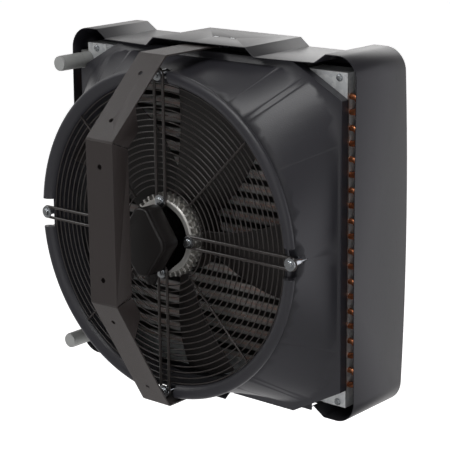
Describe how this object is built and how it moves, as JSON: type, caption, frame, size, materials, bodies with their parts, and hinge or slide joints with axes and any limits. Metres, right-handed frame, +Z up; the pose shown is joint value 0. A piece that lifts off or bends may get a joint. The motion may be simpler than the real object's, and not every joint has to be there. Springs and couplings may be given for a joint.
{
  "type": "fan-blown finned-tube heat exchanger",
  "caption": "Wall-hung fan-blown heat exchanger: dark casing, finned copper coil, axial fan with wire guard, swivelling steel bracket.",
  "frame": {"origin": "on the wall face of the bracket, half-way between its two wall holes", "axes": "+Z up, +Y from the wall into the room along the air stream, +X to the right as seen from the wall"},
  "size_m": [0.618, 0.394, 0.6006],
  "materials": {
    "casing_coat": "satin",
    "louvre_coat": "satin",
    "black_plastic": "matte",
    "zinc": "satin",
    "galvanised": "matte",
    "fin_aluminium": "satin",
    "copper": "satin",
    "pipe_grey": "matte",
    "cap_grey": "matte",
    "rubber": "matte",
    "cowl_plastic": "satin",
    "guard_wire": "satin",
    "motor_black": "satin",
    "motor_aluminium": "satin",
    "steel": "satin",
    "winding_copper": "satin",
    "blade_black": "satin",
    "bracket_coat": "satin"
  },
  "bodies": {
    "bracket": {"wall_bracket": "bracket_coat"},
    "unit": {"bearing_front": "steel", "bearing_rear": "steel", "casing_shell": "casing_coat", "casing_tabs": "casing_coat", "coil_bottom_channel": "galvanised", "coil_frame_screws": "zinc", "coil_rests": "rubber", "coil_top_channel": "galvanised", "coil_tubes": "copper", "cooling_ring": "motor_aluminium", "fan_cowl": "cowl_plastic", "fin_pack": "fin_aluminium", "front_frame": "casing_coat", "front_frame_screws": "zinc", "gland_body": "black_plastic", "gland_nut": "black_plastic", "guard_arms": "guard_wire", "guard_bolts": "zinc", "guard_rings": "guard_wire", "guard_spacers": "zinc", "guard_stays": "guard_wire", "guard_washers": "zinc", "louvre_bushes": "black_plastic", "motor_bolts": "zinc", "motor_flange": "motor_black", "motor_washers": "zinc", "nut_plate_lower": "zinc", "nut_plate_upper": "zinc", "pipe_plug_lower": "cap_grey", "pipe_plug_upper": "cap_grey", "pivot_bolts": "zinc", "pivot_spacers": "zinc", "pivot_washers": "zinc", "return_bends_left": "copper", "return_bends_right": "copper", "return_manifold": "pipe_grey", "stator_core": "steel", "stator_windings": "winding_copper", "supply_manifold": "pipe_grey", "terminal_box_base": "black_plastic", "terminal_box_lid": "black_plastic", "terminal_box_screws": "zinc", "tube_sheet_left": "galvanised", "tube_sheet_right": "galvanised"},
    "rotor": {"rotor_can": "motor_aluminium", "rotor_cage": "steel", "motor_shaft": "steel", "fan_blades": "blade_black"},
    "blade_1": {"louvre_1": "louvre_coat"},
    "blade_2": {"louvre_2": "louvre_coat"},
    "blade_3": {"louvre_3": "louvre_coat"},
    "blade_4": {"louvre_4": "louvre_coat"},
    "blade_5": {"louvre_5": "louvre_coat"},
    "blade_6": {"louvre_6": "louvre_coat"},
    "blade_7": {"louvre_7": "louvre_coat"},
    "blade_8": {"louvre_8": "louvre_coat"}
  },
  "joints": [
    {"name": "swivel", "type": "hinge", "parent": "bracket", "child": "unit", "pos_m": [0, 0.303, 0], "axis": [0, 0, 1], "range_deg": [-25, 25]},
    {"name": "fan_spin", "type": "hinge", "parent": "unit", "child": "rotor", "pos_m": [0, 0.252, -0.049], "axis": [0, 1, 0], "continuous": true},
    {"name": "louvre_tilt_1", "type": "hinge", "parent": "unit", "child": "blade_1", "pos_m": [0, 0.353, -0.26425], "axis": [1, 0, 0], "range_deg": [-60, 60]},
    {"name": "louvre_tilt_2", "type": "hinge", "parent": "unit", "child": "blade_2", "pos_m": [0, 0.353, -0.20025], "axis": [1, 0, 0], "range_deg": [-60, 60]},
    {"name": "louvre_tilt_3", "type": "hinge", "parent": "unit", "child": "blade_3", "pos_m": [0, 0.353, -0.13625], "axis": [1, 0, 0], "range_deg": [-60, 60]},
    {"name": "louvre_tilt_4", "type": "hinge", "parent": "unit", "child": "blade_4", "pos_m": [0, 0.353, -0.07225], "axis": [1, 0, 0], "range_deg": [-60, 60]},
    {"name": "louvre_tilt_5", "type": "hinge", "parent": "unit", "child": "blade_5", "pos_m": [0, 0.353, -0.00825], "axis": [1, 0, 0], "range_deg": [-60, 60]},
    {"name": "louvre_tilt_6", "type": "hinge", "parent": "unit", "child": "blade_6", "pos_m": [0, 0.353, 0.05575], "axis": [1, 0, 0], "range_deg": [-60, 60]},
    {"name": "louvre_tilt_7", "type": "hinge", "parent": "unit", "child": "blade_7", "pos_m": [0, 0.353, 0.11975], "axis": [1, 0, 0], "range_deg": [-60, 60]},
    {"name": "louvre_tilt_8", "type": "hinge", "parent": "unit", "child": "blade_8", "pos_m": [0, 0.353, 0.18375], "axis": [1, 0, 0], "range_deg": [-60, 60]}
  ]
}
